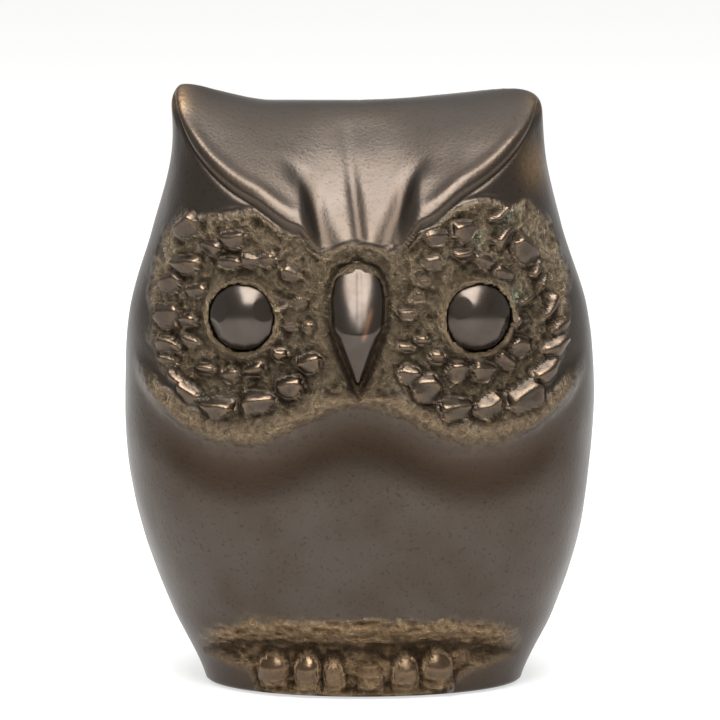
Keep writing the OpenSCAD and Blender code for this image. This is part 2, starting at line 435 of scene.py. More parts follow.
RIGHT_LUMPS = [
    (19.5, 90, 2.2, 2.1, 5, 1.7),
    (14.5, 89, 2.1, 1.9, 5, 1.3),
    (19.5, 85.5, 2.4, 1.3, 10, 1.6),
    (26.5, 92.5, 4.0, 1.1, 38, 1.5),
    (27.5, 88.5, 4.2, 1.3, 35, 1.5),
    (31.5, 85.5, 2.9, 2.7, -35, 1.8),
    (33.5, 82, 3.7, 1.1, 50, 1.6),
    (34.5, 79, 3.3, 1.1, 42, 1.6),
    (36, 74.5, 3.8, 1.5, 55, 1.8),
    (31.5, 76.5, 2.8, 0.9, 32, 1.3),
    (30.5, 72, 2.4, 1.7, 10, 1.5),
    (37.5, 70.5, 2.6, 1.5, 20, 1.4),
    (36.5, 67.5, 2.9, 1.9, 25, 1.8),
    (30.5, 67.5, 2.2, 2.1, -20, 1.7),
    (34.5, 63, 3.3, 2.1, 30, 1.9),
    (30.5, 58.5, 4.1, 2.5, 25, 2.3),
    (24, 57, 2.8, 2.3, 25, 2.1),
    (18, 57, 3.3, 2.3, 5, 2.3),
    (12.5, 60.5, 2.5, 2.7, 0, 2.2),
    (9, 63.5, 1.9, 1.9, -15, 1.8),
    (14, 84, 1.9, 1.7, 10, 1.1),
    (23.5, 84, 2.1, 1.5, -15, 1.3),
    (27, 81.5, 2.2, 1.5, -20, 1.3),
    (27.5, 65, 2.1, 1.5, -30, 1.5),
    (23, 63.5, 2.6, 1.9, -5, 1.8),
    (18.5, 64, 1.9, 2.1, 0, 1.6),
    (14.5, 66.5, 1.5, 1.5, 0, 1.6),
    (11.5, 69.5, 1.3, 1.1, 0, 1.4),
    (8.5, 68, 1.7, 1.1, -10, 1.3),
    (9, 74.5, 1.7, 1.5, 0, 1.1),
    (10.5, 77.5, 1.5, 1.3, 20, 0.9),
    (11.5, 80.5, 1.5, 1.3, 0, 0.8),
]
# Toes: x, half width, height of the toe's top, how far it stands out, how smooth it is.
TOES = [
    (-16.8, 3.0, 8.4, 1.0, 1.0),
    (-10.2, 2.6, 8.6, 1.05, 1.0),
    (-5, 2.1, 7.9, 0.8, 0.8),
    (2, 2.6, 6.8, 0.65, 0.2),
    (8.8, 2.6, 8.4, 0.95, 0.9),
    (15, 2.9, 8.9, 1.0, 1.0),
]
TOE_ROUND = 2.9
# Verdigris: x, z and radius of each cluster.
VERDIGRIS_SPOTS = [
    (27.5, 91.5, 1.6),
    (22.5, 88, 1.5),
    (29.3, 77, 1.6),
    (-29.5, 57.5, 1.5),
    (29, 92.5, 1.0),
]
# Flats filed on each eye's dome: angle round it, tilt from its axis, depth.
LEFT_EYE_FLATS = [(160, 30, 0.30), (205, 40, 0.25), (20, 44, 0.3)]
RIGHT_EYE_FLATS = [(150, 38, 0.28), (30, 36, 0.30), (-25, 42, 0.22)]


def plain_radius(c, s, z):
    """Radius of the plain body towards (c, s) at a height."""
    t = z / STATION_STEP
    n = 2 + 0.3 * smooth(5, 40, z)
    w = np.where(c < 0, spline(LEFT_WIDTH, t), spline(RIGHT_WIDTH, t))
    d = np.where(s < 0, spline(FRONT_DEPTH, t), spline(BACK_DEPTH, t))
    return ((np.abs(c) / w) ** n + (np.abs(s) / d) ** n) ** (-1 / n)


def crown_top(form, x, y):
    """Height of the crown over a place in the plan."""
    left = form.left_ear / MM * np.clip((-x - 17) / 17, 0, 1) ** 1.6
    left = left * (0.4 + 0.6 * smooth(-14, 4, y))
    right = form.right_ear / MM * np.clip((x + 2) / 36, 0, 1) ** 1.7
    u = form.ridge_back / MM - y
    change = form.side_slope - form.middle_slope
    across = np.abs(x)
    share = smooth(5, 21, across)
    steep = 0.6 * smooth(7, 11.5, across) + 0.4 * smooth(12, 20, across)
    share = share + (steep - share) * smooth(-15, -20, y)
    slope = form.middle_slope + change * share
    fall = np.where(u > 0, slope * (np.hypot(u, 14) - 14), np.hypot(u, 30) - 30)
    return form.crown_height / MM + left + right - fall


def body_gap(form, p, inset=0.0):
    """Above zero outside the body, and how far a point is from the brow's edge."""
    x, y, z = p[..., 0], p[..., 1], p[..., 2]
    r = np.maximum(np.hypot(x, y), 1e-6)
    side = r - plain_radius(x / r, y / r, z) + inset
    top = z - crown_top(form, x, y) + inset
    k = 3.5 + 13 * smooth(-4, 18, y) + 1.5 * inset
    return soft_max(side, top, k), side - top


def surface_points(form, origins, directions, inset=0.0):
    """Where rays from inside the body meet its surface."""
    near = np.zeros(directions.shape[:-1])
    far = np.full(directions.shape[:-1], 70.0)
    for _ in range(24):
        mid = (near + far) / 2
        gap, _edge = body_gap(form, origins + mid[..., None] * directions, inset)
        near = np.where(gap > 0, near, mid)
        far = np.where(gap > 0, mid, far)
    return origins + near[..., None] * directions


# The body's skin is one closed grid: rows run from the crown down the outside, round
# the rim and up the inside, and columns run round it, closer together on the face.
COLUMNS = 336
CROWN_ROWS = 25
BROW_ROWS = 80
FACE_ROWS = 100
BELLY_ROWS = 25
FOOT_ROWS = 38
CAVITY_ROWS = 8
CAVITY_CAPS = 5
OUTER_ROWS = CROWN_ROWS + BROW_ROWS + FACE_ROWS + BELLY_ROWS + FOOT_ROWS
RIM_ROWS = 4
ALL_ROWS = OUTER_ROWS + RIM_ROWS + CAVITY_ROWS + CAVITY_CAPS
FACE_DENSITY = 4.2


def column_angles():
    """Angles round the body, evenly spaced along it and closer on the front."""
    turn = np.linspace(-math.pi, math.pi, 4001)
    angle = turn - math.pi / 2
    radius = plain_radius(np.cos(angle), np.sin(angle), np.full_like(angle, 70.0))
    stretch = np.hypot(radius, np.gradient(radius, angle))
    crowd = 1 + (FACE_DENSITY - 1) * (1 - smooth(1.5, 2.0, np.abs(turn)))
    share = np.cumsum(stretch * crowd)
    share = (share - share[0]) / (share[-1] - share[0])
    return np.interp(np.arange(COLUMNS) / COLUMNS, share, angle)


def outer_grid(form, angles):
    """The plain outside: rows of points from the crown down to the rim."""
    lifts = np.concatenate(
        [
            np.linspace(90, 45, CROWN_ROWS + 1)[1:],
            np.linspace(45, 0, BROW_ROWS + 1)[1:],
        ]
    )
    heights = np.concatenate(
        [
            np.linspace(FAN_Z, 48, FACE_ROWS + 1)[1:],
            np.linspace(48, 18, BELLY_ROWS + 1)[1:],
            np.linspace(18, RIM_Z + 0.4, FOOT_ROWS + 1)[1:],
        ]
    )
    lift = np.radians(np.concatenate([lifts, np.zeros(len(heights))]))[:, None]
    start = np.concatenate([np.full(len(lifts), FAN_Z), heights])
    origins = np.zeros((OUTER_ROWS, 1, 3))
    origins[:, 0, 2] = start
    directions = np.stack(
        [
            np.cos(lift) * np.cos(angles),
            np.cos(lift) * np.sin(angles),
            np.sin(lift) * np.ones_like(angles),
        ],
        axis=-1,
    )
    return surface_points(form, origins, directions)


def ring_at(angles, z, inset):
    """A level ring of points, set in from the plain body."""
    r = plain_radius(np.cos(angles), np.sin(angles), np.full_like(angles, z)) - inset
    return np.stack([r * np.cos(angles), r * np.sin(angles), np.full_like(r, z)], -1)


def wall_at(z):
    return WALL + SHELF * (1 - smooth(PLATE_TOP, 15, z))


def inner_grid(form, angles):
    """The rim, the rebate for the base plate, and the cavity up to its top."""
    rows = [
        ring_at(angles, RIM_Z, 0.4),
        ring_at(angles, RIM_Z, RIM_WALL),
        ring_at(angles, PLATE_TOP, RIM_WALL),
        ring_at(angles, PLATE_TOP, wall_at(PLATE_TOP)),
    ]
    for z in np.linspace(PLATE_TOP, FAN_Z - 6, CAVITY_ROWS + 1)[1:]:
        rows.append(ring_at(angles, z, wall_at(z)))
    lift = np.radians(np.linspace(5, 85, CAVITY_CAPS))[:, None]
    origins = np.zeros((CAVITY_CAPS, 1, 3))
    origins[:, 0, 2] = FAN_Z - 6
    directions = np.stack(
        [
            np.cos(lift) * np.cos(angles),
            np.cos(lift) * np.sin(angles),
            np.sin(lift) * np.ones_like(angles),
        ],
        axis=-1,
    )
    return np.concatenate([rows, surface_points(form, origins, directions, WALL)])


def grid_normals(g):
    """Outward directions of a grid whose columns close on themselves."""
    along = np.roll(g, -1, axis=1) - np.roll(g, 1, axis=1)
    down = np.gradient(g, axis=0)
    n = np.cross(down, along)
    return n / np.maximum(np.linalg.norm(n, axis=-1, keepdims=True), 1e-9)


def chest_line(x):
    """Height of the ridge under the face discs."""
    s = np.abs(x)
    middle = 51.8 + 3.7 * (1 + np.cos(np.pi * np.minimum(s, 22) / 22))
    return middle + 6 * (np.maximum(s - 22, 0) / 15) ** 2


def beak_half_width(z):
    """Half the beak's width at a height, below zero past its ends."""
    t = (BEAK_TOP - z) / (BEAK_TOP - BEAK_TIP)
    cap = np.sqrt(np.clip(1 - (1 - np.clip(t / 0.33, -1, 1)) ** 2, 0, 1))
    taper = 1 - np.clip((t - 0.48) / 0.52, 0, 1) ** 1.1
    inside = BEAK_HALF * cap * taper
    return np.where((t < 0) | (t > 1), -4 * np.maximum(-t, t - 1) * 6, inside)


def verdigris_mask(p):
    """Where copper salts gather: a few deep places in the face discs."""
    total = np.zeros(p.shape[:-1])
    for x, z, size in VERDIGRIS_SPOTS:
        total = np.maximum(total, bell(np.hypot(p[..., 0] - x, p[..., 2] - z) / size))
    return total * (p[..., 1] < 0)


def lump_stamp(p, n, front, lump, wobble, rng):
    """Height that one faceted lump adds at each point, and how much of it is lump."""
    x, z, half_w, half_h, turn, height = lump
    near = np.where(front, np.hypot(p[..., 0] - x, p[..., 2] - z), 1e9)
    row, col = np.unravel_index(np.argmin(near), near.shape)
    centre, out = p[row, col], n[row, col]
    across = np.cross([0, 0, 1], out)
    across = across / np.linalg.norm(across)
    across = across * (1 if across[0] > 0 else -1)
    up = np.cross(out, across)
    up = up * (1 if up[2] > 0 else -1)
    a = math.radians(turn)
    right, top = math.cos(a) * across + math.sin(a) * up, math.cos(a) * up - math.sin(a) * across
    offset = p - centre
    u = offset @ right + 0.4 * wobble[0]
    v = offset @ top + 0.4 * wobble[1]
    sides = rng.integers(5, 7)
    phases = (np.arange(sides) + rng.uniform(-0.22, 0.22, sides)) * 2 * math.pi / sides
    phases = phases + math.pi / 2
    wall = np.full(u.shape, 1e9)
    for phase in phases:
        c, s = math.cos(phase), math.sin(phase)
        reach = 1 / math.hypot(c / half_w, s / half_h)
        wall = np.minimum(wall, 2.6 * (reach * 1.16 - (u * c + v * s)))
    height = 1.25 * height
    ridge = rng.uniform(0.05, 0.45) * half_h
    lean = rng.uniform(-0.2, 0.2)
    lower = height * (1 + 0.40 * (v - ridge) / half_h)
    upper = height * (1 - 0.85 * (v - ridge) / half_h)
    dome = 0.2 * height * ((u / half_w) ** 2 + (v / half_h) ** 2)
    face = np.minimum(lower, upper) + lean * u - dome
    stamp = np.minimum(wall, face)
    return np.where(near < 8, np.maximum(stamp, 0), 0)


def foot_hollow(x, z, ahead, ragged):
    """The rough band above the toes, and the hollow under it that the toes stand in."""
    s = np.abs(x)
    roof = 16.2 - 0.016 * np.maximum(s - 15, 0) ** 2
    left_sill = 5.4 * smooth(-18.2, -21.5, x) + 1.9 * smooth(-21.5, -28, x)
    right_sill = 3.0 * smooth(15.6, 17, x) + 2.6 * smooth(17, 22, x) + 1.6 * smooth(22, 28, x)
    sill = np.maximum(left_sill, right_sill) - 0.8
    ends = 1 - smooth(26, 31, s)
    above_sill = smooth(0, 1.3, z - sill)
    band = smooth(-0.8, 1.8, roof - z + ragged) * above_sill * ends * ahead
    recess = smooth(0, 6, roof - 1.5 - z) * above_sill * ends * ahead
    return band, recess * (0.45 + 0.55 * smooth(5.5, 9, z)) * smooth(RIM_Z, 1.6, z)


def toe_relief(x, z, ahead, ragged):
    """How far the toes stand out, and how smooth each place on them is."""
    toes = np.zeros_like(x)
    toe_top = np.zeros_like(x)
    for toe_x, half, top, height, smoothness in TOES:
        u = (x - toe_x + 0.35 * ragged) / half
        v = (z - top + TOE_ROUND) / TOE_ROUND
        down = np.clip(-v, 0, 1)
        dome = np.sqrt(np.maximum(1 - u**2 - np.maximum(v, 0) ** 2, 0))
        toe = height * dome * (1 - 0.4 * down**2)
        toes = np.maximum(toes, toe)
        shine = smooth(0.35, 0.6, dome) * (1 - 0.9 * smooth(0.5, 1, down))
        toe_top = np.maximum(toe_top, smoothness * shine * ahead)
    return toes * ahead, toe_top


def ground_relief(p, seed):
    """Height of the matted ground: tooled lumps and creases, drawn out at the foot."""
    creased = 0.5 - np.abs(grain(p, 3.2, seed + 10))
    rough = 0.28 * grain(p, 1.8, seed + 2) + 0.34 * grain(p, 0.9, seed + 3) + 0.3 * creased
    streaks = 0.55 * grain(p * np.array([0.7, 0.7, 2.2]), 1.8, seed + 11)
    return rough + (streaks - 0.5 * rough) * (p[..., 2] < 20)


def blur(values):
    """The values averaged with their neighbours on the grid, six times."""
    for _ in range(6):
        values = (
            values
            + np.roll(values, 1, 1)
            + np.roll(values, -1, 1)
            + np.vstack([values[:1], values[:-1]])
            + np.vstack([values[1:], values[-1:]])
        ) / 5
    return values


def sculpt(form, p, n, edge):
    """Relief of the outside: distance to move each point outwards, and its finish."""
    x, y, z = p[..., 0], p[..., 1], p[..., 2]
    s = np.abs(x)
    front = y < 2
    low = smooth(-16, -21, y) * front
    dents = bell((x + 8.3 + 0.5 * (y + 22.6)) / 2.3) + bell((x - 6.9 - 0.5 * (y + 22.6)) / 2.1)
    edge = edge + low * (1.9 * bell((x + 0.8) / 2.2) + 0.8 * dents)
    ahead = smooth(0.02, 0.35, -n[..., 1]) * front
    face = ahead * smooth(-1.2, 0.2, edge)
    crown = smooth(-1.2, 0.2, -edge) * smooth(12, -4, y) * (z > 80)
    line = chest_line(x)
    seed = form.seed

    # Face discs: a sunken, matted ground from the cheek plane down to the chest ridge.
    cheek = 2.2 + 9.5 * smooth(19, 36, s) - 1.2 * smooth(14, 6, s)
    disc_edge = 1.2 * grain(p, 4.0, seed + 1)
    disc_q = np.hypot((s - 21.5) / 18.5, (z - 75) / 22.5)
    within = (1 - disc_q) * 18 + disc_edge
    middle = smooth(0.2, 0.8, bell(x / 9) * smooth(58, 60, z))
    above = face * smooth(line - 1.0, line + 1.5, z)
    below_brow = edge - cheek + 0.5 * disc_edge
    disc = np.maximum(smooth(-0.4, 1.4, within), middle) * smooth(-0.6, 1.2, below_brow) * above
    bowl = np.maximum(smooth(-0.5, 4.0, within), middle) * smooth(-1.0, 2.6, below_brow) * above
    depth = -form.disc_depth / MM * bowl

    # The ridge under the discs, rough on its crest, and the hollow below it.
    flank = 1 - smooth(37, 43, s)
    ridge = bell((z - line + 0.2) / 2.5) * flank * face
    under = bell((z - line + 8.5) / 5.0) * (1 - smooth(33, 42, s)) * face
    depth = depth + 1.15 * ridge - 0.55 * under

    # The brow: a rolled lip on the crown, a step down to the cheek and a faint cut.
    lip = bell((edge + 1.5) / 1.3) * smooth(9, 14, s) * smooth(110, 105, z)
    depth = depth + form.lip_height / MM * lip * smooth(82, 86, z) * (y < 6)
    step = smooth(0.1, 1.2, edge) * bell(np.maximum(edge - 1.2, 0) / 6) * smooth(4, 7, s)
    step = step + 0.35 * bell((edge - 1.1) / 0.7) * smooth(5, 7.5, s)
    depth = depth - 0.75 * step * ahead
    second = bell((edge - cheek + 0.2) / 0.5) * ahead * smooth(5, 7, s) * (1 - smooth(24, 29, s))
    depth = depth - 0.25 * second

    # The crown's two fingers above the beak, with a cleft between and dents outside.
    reach = smooth(0, -16, y)
    dip = smooth(-12.5, -20, y)
    cleft = bell((x + 0.4 + 0.14 * (y + 24)) / 1.3)
    depth = depth - crown * (0.75 * dip * dents + (0.3 * reach + 0.3 * dip) * cleft)
    # The crown's dents and cleft are painted darker.
    darker_dents = crown * smooth(-15, -23, y) * np.clip(0.75 * dents + 0.4 * cleft, 0, 1)
    depth = depth + 0.14 * crown * grain(p, 12.0, seed + 12)
    swell = bell((x + 14.5) / 4.5) * bell((y + 17) / 6) + bell((x - 13) / 4.5) * bell((y + 15) / 7)
    depth = depth + 0.4 * crown * swell - 0.35 * crown * bell((x - 1) / 9) * bell((y + 6) / 5)

    # Settings: a collar of metal round each eye, a moat and an arch round the beak.
    calm = np.zeros_like(x)
    for ex, _, ez in EYES.values():
        near = np.hypot((x - ex) / math.cos(EYE_TURN), z - ez)
        ring = form.eye_radius / MM + 0.1
        sideways = smooth(3, 6.5, np.abs(x - ex))
        collar = (1.35 + 0.5 * sideways) * bell((near - ring) / (1.1 + 0.3 * sideways))
        depth = depth + collar * (y < 0) * face
        calm = np.maximum(calm, 0.5 * bell((near - ring) / 1.2) * (y < 0))
    beside = np.abs(x - BEAK_X) - beak_half_width(z)
    shield = smooth(56, 59, z) * smooth(88, 85.5, z)
    moat = 1.3 * bell((beside - 0.8) / 0.9) * shield * (s < 9) * face
    calm = np.maximum(calm, 0.9 * bell(beside / 1.8) * shield * (s < 9))
    depth = depth - 0.8 * moat
    arch_q = np.hypot((x - BEAK_X) / 7, (z - 82) / 5.2)
    arch = bell((arch_q - 1) / 0.15) * smooth(81, 84, z) * (s < 10) * face
    depth = depth + 0.35 * arch - 0.4 * smooth(1, 0.8, arch_q) * smooth(81, 84, z) * face

    # The foot: a rough band over a shallow hollow, with the toes standing in it.
    ragged = 0.9 * grain(p, 3.0, seed + 6) + 0.5 * grain(p, 1.2, seed + 7)
    band, recess = foot_hollow(x, z, ahead, ragged)
    toes, toe_top = toe_relief(x, z, ahead, ragged)
    depth = depth - form.toe_depth / MM * recess + 2.5 * toes * smooth(RIM_Z, 2.0, z)

    # Faceted lumps round the eyes.
    lumps = np.zeros_like(x)
    rng = np.random.default_rng(seed)
    wobble = grain(p, 2.2, seed + 8), grain(p, 2.2, seed + 9)
    for lump in LEFT_LUMPS + RIGHT_LUMPS:
        stamp = lump_stamp(p, n, front & (z > 50), lump, wobble, rng)
        lumps = np.maximum(lumps, stamp)
    lumps = lumps * face
    depth = depth + lumps

    # Unevenness: matted ground, and the soft undulation of hand-finished metal.
    lump_top = smooth(0.3, 0.9, lumps)
    crest = smooth(0.15, 0.95, bell((z - line) / 2.7) + 0.2 * ragged) * flank * face
    matted = np.maximum.reduce([disc, 0.62 * crest, band, 0.7 * moat, 0.8 * arch])
    matted = np.clip(matted * (1 - 0.95 * lump_top) * (1 - toe_top), 0, 1)
    depth = depth + matted * ground_relief(p, seed) * (1 - calm)
    depth = depth + 0.07 * grain(p, 9.0, seed + 4) + 0.03 * grain(p, 3.5, seed + 5)

    # The relief fades out round the plugs, which are filed flush.
    for start, direction in PLUGS.values():
        along = (p - start) @ direction
        off = np.linalg.norm(p - start - along[..., None] * np.array(direction), axis=-1)
        depth = depth * (1 - (along > 0) * smooth(4.5, 2.6, off))

    # Where the relief dips below or stands above its own surroundings. The dips take dark patina
    # with painted shade added in the crevices, and the raised places take wear.
    sunk = blur(depth) - depth
    # Painted shade under the roof of the foot hollow, just above the toes.
    painted_roof_shade = 0.55 * recess * bell((z - 8.5) / 2.5)
    # Browner patina on the chest crest, the low front and the lumps, and painted shade, as browner
    # patina, under the chest ridge.
    brown_and_under_shade = np.maximum.reduce(
        [0.9 * under, 0.7 * crest, 0.5 * smooth(19, 12, z) * ahead, 0.25 * lump_top]
    )
    bare_cheek = 0.95 * bell((x - 33.2) / 2.6) * bell((z - 100.5) / 4.0) * smooth(0, -9, y)
    bare_ears = 0.5 * smooth(108.5, 111.5, z) * bell((s - 34.5) / 2.5)
    finish = {
        "matted": matted,
        # Dark patina in the dips plus painted shade in the crevices, over the toes and in the
        # darker dents.
        "hollow": np.clip(sunk * 3.4 + painted_roof_shade + darker_dents, 0, 1),
        "raised": np.clip(-sunk * 2.6, 0, 1) * np.maximum(face, ahead),
        "deep": np.clip(brown_and_under_shade, 0, 1),
        "rubbed": np.clip(np.maximum(0.2 * crest, band) * (z < 62), 0, 1),
        "bared": bare_cheek + bare_ears,
        "worn": np.clip(toe_top, 0, 1),
        "verdigris": verdigris_mask(p) * matted,
    }
    return depth, finish


# ------------------------------------------------------------------ mesh building


def new_piece(name, bm):
    """Turns a bmesh into an object at the origin, and frees it."""
    mesh = bpy.data.meshes.new(name)
    bm.to_mesh(mesh)
    bm.free()
    for face in mesh.polygons:
        face.use_smooth = True
    piece = bpy.data.objects.new(name, mesh)
    bpy.context.scene.collection.objects.link(piece)
    return piece


def boolean(piece, tools, operation):
    """Cuts the tools out of a piece, or joins them to it, and removes the tools."""
    for tool in tools:
        change = piece.modifiers.new("work", "BOOLEAN")
        change.operation = operation
        change.solver = "MANIFOLD"
        change.object = tool
    graph = bpy.context.evaluated_depsgraph_get()
    result = bpy.data.meshes.new_from_object(piece.evaluated_get(graph))
    result.name = piece.name
    piece.modifiers.clear()
    result.materials.clear()
    piece.data = result
    for tool in tools:
        bpy.data.objects.remove(tool)


def rod(name, start, direction, radius, length, segments=64):
    """A plain round bar from a point along a direction, in millimetres."""
    bm = bmesh.new()
    bmesh.ops.create_cone(
        bm, cap_ends=True, segments=segments, radius1=radius, radius2=radius, depth=length
    )
    turn = Vector((0, 0, 1)).rotation_difference(Vector(direction)).to_matrix().to_4x4()
    place = Matrix.Translation(Vector(start) + Vector(direction) * length / 2) @ turn
    bmesh.ops.transform(bm, matrix=Matrix.Scale(MM, 4) @ place, verts=bm.verts)
    return new_piece(name, bm)


def eye_axis(side):
    """The way an eye looks: forwards and a little outwards."""
    return Vector((side * math.sin(EYE_TURN), -math.cos(EYE_TURN), 0))


def eye_shape(name, form, side, place, gap=0.0):
    """An eye with its spigot, or with a gap, the space that it needs in the body."""
    radius, dome = form.eye_radius / MM + gap, form.eye_dome / MM + gap
    ball = (radius**2 + dome**2) / (2 * dome)
    spread = math.asin(radius / ball)
    profile = []
    for k in range(DOME_STEPS + 1):
        lean = spread * k / DOME_STEPS
        profile.append((ball * math.sin(lean), ball * math.cos(lean) - ball + dome))
    profile += [(radius, -0.4), (radius, -SEAT_DEPTH), (SPIGOT_R + gap, -SEAT_DEPTH)]
    profile += [(SPIGOT_R + gap, -SPIGOT_LENGTH), (0, -SPIGOT_LENGTH)]
    bm = bmesh.new()
    verts = [bm.verts.new((r, 0, z)) for r, z in profile]
    edges = [bm.edges.new(pair) for pair in zip(verts, verts[1:])]
    bmesh.ops.spin(
        bm,
        geom=verts + edges,
        axis=(0, 0, 1),
        cent=(0, 0, 0),
        angle=2 * math.pi,
        steps=112,
        use_merge=True,
    )
    bmesh.ops.remove_doubles(bm, verts=bm.verts, dist=1e-4)
    bmesh.ops.recalc_face_normals(bm, faces=bm.faces)
    cuts = []
    for around, tilt, depth in RIGHT_EYE_FLATS if side > 0 else LEFT_EYE_FLATS:
        a, b = math.radians(around), math.radians(tilt)
        n = Vector((math.sin(b) * math.cos(a), math.sin(b) * math.sin(a), math.cos(b)))
        cuts.append((n, ball - depth))
    for v in bm.verts:
        if v.co.z < 0.05:
            continue
        from_centre = v.co - Vector((0, 0, dome - ball))
        for n, depth in cuts:
            over = from_centre.dot(n) - depth
            if over > 0:
                v.co -= n * over * 0.85
    out = eye_axis(side)
    right = Vector((0, 0, 1)).cross(out)
    turn = Matrix((right, out.cross(right), out)).transposed().to_4x4()
    bmesh.ops.transform(
        bm, matrix=Matrix.Scale(MM, 4) @ Matrix.Translation(place) @ turn, verts=bm.verts
    )
    return new_piece(name, bm)


def join_frame(piece, slot_name, *nodes):
    """Makes a finished piece ride on the body and stand for its CAD nodes."""
    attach(piece, BODY)
    if nodes:
        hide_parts(*nodes)


# ---------------------------------------------------------------------- materials


def add_node(tree, kind, inputs=None, **settings):
    """Adds one node, sets its properties, and fills or links its inputs."""
    node = tree.nodes.new("ShaderNode" + kind)
    for name, value in settings.items():
        setattr(node, name, value)
    for key, value in (inputs or {}).items():
        if isinstance(value, bpy.types.NodeSocket):
            tree.links.new(value, node.inputs[key])
        else:
            node.inputs[key].default_value = value
    return node


def blend(tree, share, first, second):
    """The first colour where the share is 0, and the second where it is 1."""
    inputs = {SHARE: share, FIRST: first, SECOND: second}
    return add_node(tree, "Mix", inputs, data_type="RGBA").outputs[MIXED]


def new_material(name):
    """An empty node material and its tree."""
    material = bpy.data.materials.new(name)
    material.use_nodes = True
    material.node_tree.nodes.clear()
    return material, material.node_tree


def waxed_bronze(finish):
    """Hollow-cast bronze with a hot-applied brown patina under wax.

    The smooth faces are satin and reflect the light softly, with fine casting pits.
    The matted ground shows tan metal on its high spots and is browner in its dips, and
    a little verdigris sits in the deepest places. Hollows and crevices take dark patina
    with painted shade added, the crown's dents are painted darker, painted shade sits
    over the toes, and the browner patina under the chest ridge is partly painted shade.
    """
    material, tree = new_material("waxed_cast_bronze")
    place = add_node(tree, "TexCoord").outputs["Object"]
    masks = {
        name: add_node(tree, "Attribute", attribute_name=name).outputs["Fac"]
        for name in ("matted", "hollow", "raised", "deep", "rubbed", "worn", "bared", "verdigris")
    }
    # Cloudy patina, about 12 mm across, casting grain of 0.7 mm and crumbs of 1 mm.
    clouds = add_node(
        tree, "TexNoise", {"Vector": place, "Scale": 1 / (12 * MM), "Detail": 3.0}
    ).outputs["Fac"]
    speckle = add_node(
        tree, "TexNoise", {"Vector": place, "Scale": 1 / (0.7 * MM), "Detail": 3.0}
    ).outputs["Fac"]
    crumbs = add_node(
        tree,
        "TexNoise",
        {"Vector": place, "Scale": 1 / (1.0 * MM), "Detail": 5.0, "Roughness": 0.65},
    ).outputs["Fac"]
    cloud_mix = add_node(
        tree, "MapRange", {"Value": clouds, "From Min": 0.35, "From Max": 0.7, "To Max": 0.4}
    ).outputs["Result"]
    deep_mix = add_node(
        tree, "Math", {0: masks["deep"], 1: cloud_mix}, operation="MAXIMUM"
    ).outputs[0]
    smooth_colour = blend(tree, deep_mix, list(finish.patina), list(finish.patina_deep))
    # The ground: tan where it stands up, browner where it dips.
    high_spots = add_node(
        tree, "MapRange", {"Value": crumbs, "From Min": 0.3, "From Max": 0.62, "To Min": 0.25}
    ).outputs["Result"]
    brassy = add_node(
        tree, "Math", {0: masks["rubbed"], 1: 0.45}, operation="MULTIPLY"
    ).outputs[0]
    tan = blend(tree, brassy, list(finish.ground), list(finish.bare))
    ground_colour = blend(tree, high_spots, list(finish.patina_deep), tan)
    colour = blend(tree, masks["matted"], smooth_colour, ground_colour)
    # Dark patina with painted shade in the hollows and crevices, darker dents, bare metal on the
    # rubbed edges.
    patina_and_shade = add_node(
        tree, "Math", {0: masks["hollow"], 1: 0.75}, operation="MULTIPLY"
    ).outputs[0]
    colour = blend(tree, patina_and_shade, colour, list(finish.recess))
    rub = add_node(
        tree, "Math", {0: masks["raised"], 1: high_spots}, operation="MULTIPLY"
    ).outputs[0]
    rub = add_node(tree, "Math", {0: rub, 1: 0.16}, operation="MULTIPLY").outputs[0]
    colour = blend(tree, rub, colour, list(finish.bare))
    handled = add_node(
        tree, "Math", {0: masks["worn"], 1: 0.1}, operation="MULTIPLY"
    ).outputs[0]
    patches = add_node(
        tree, "Math", {0: masks["bared"], 1: crumbs}, operation="MULTIPLY"
    ).outputs[0]
    handled = add_node(
        tree, "Math", {0: handled, 1: patches}, operation="MAXIMUM"
    ).outputs[0]
    colour = blend(tree, handled, colour, list(finish.bare))
    # Fine casting pits that hold dark wax.
    pinholes = add_node(
        tree, "MapRange", {"Value": speckle, "From Min": 0.58, "From Max": 0.7, "To Max": 0.45}
    ).outputs["Result"]
    colour = blend(tree, pinholes, colour, list(finish.recess))
    # Verdigris: specks about 0.4 mm across, in a few clusters on the ground.
    spots = add_node(
        tree, "MapRange", {"Value": speckle, "From Min": 0.5, "From Max": 0.6}
    ).outputs["Result"]
    spots = add_node(
        tree, "Math", {0: spots, 1: masks["verdigris"]}, operation="MULTIPLY"
    ).outputs[0]
    colour = blend(tree, spots, colour, list(finish.verdigris))
    # Gloss: waxed satin, a little brighter on tooled metal and on its raised places.
    satin = add_node(
        tree,
        "MapRange",
        {
            "Value": clouds,
            "From Min": 0.3,
            "From Max": 0.7,
            "To Min": finish.gloss - 0.03,
            "To Max": finish.gloss + 0.05,
        },
    ).outputs["Result"]
    roughness = add_node(
        tree, "Math", {0: masks["matted"], 1: -0.08}, operation="MULTIPLY"
    ).outputs[0]
    roughness = add_node(tree, "Math", {0: satin, 1: roughness}, operation="ADD").outputs[0]
    handled = add_node(
        tree, "Math", {0: masks["worn"], 1: masks["raised"]}, operation="MAXIMUM"
    ).outputs[0]
    handled = add_node(tree, "MapRange", {"Value": handled, "To Max": 0.1}).outputs["Result"]
    roughness = add_node(
        tree, "Math", {0: roughness, 1: handled}, operation="SUBTRACT"
    ).outputs[0]
